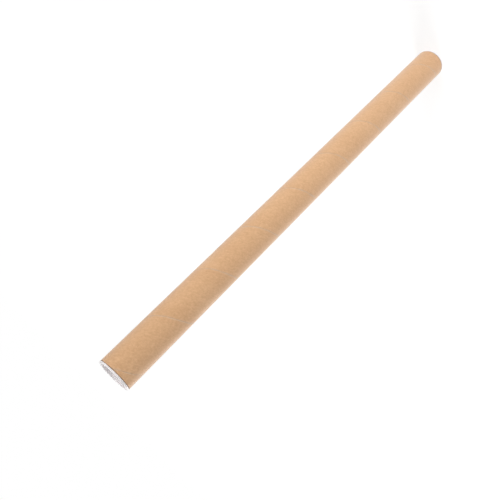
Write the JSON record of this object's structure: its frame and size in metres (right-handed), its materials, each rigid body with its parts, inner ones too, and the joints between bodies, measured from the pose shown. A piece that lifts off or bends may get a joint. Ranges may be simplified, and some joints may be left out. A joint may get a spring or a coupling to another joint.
{
  "type": "cardboard mailing tube",
  "caption": "Slim spirally wound brown paperboard mailing tube with a white push-in plastic plug in each end, for sending rolled papers.",
  "frame": {"origin": "centre of the lower plug's outer face, on which the tube stands", "axes": "+Z along the tube's axis towards the upper plug, -Y towards the front, where the outer seam passes 3 mm below the top cut"},
  "size_m": [0.033, 0.033, 0.5032],
  "materials": {
    "paperboard": "matte",
    "white_plug": "satin"
  },
  "bodies": {
    "plug_bottom": {"plug_bottom": "white_plug"},
    "tube": {"tube": "paperboard"},
    "plug_top": {"plug_top": "white_plug"}
  },
  "joints": [
    {"name": "plug_bottom_pull", "type": "slide", "parent": "plug_bottom", "child": "tube", "axis": [0, 0, 1], "range_m": [0, 0.06]},
    {"name": "plug_top_pull", "type": "slide", "parent": "tube", "child": "plug_top", "axis": [0, 0, 1], "range_m": [0, 0.06]}
  ]
}
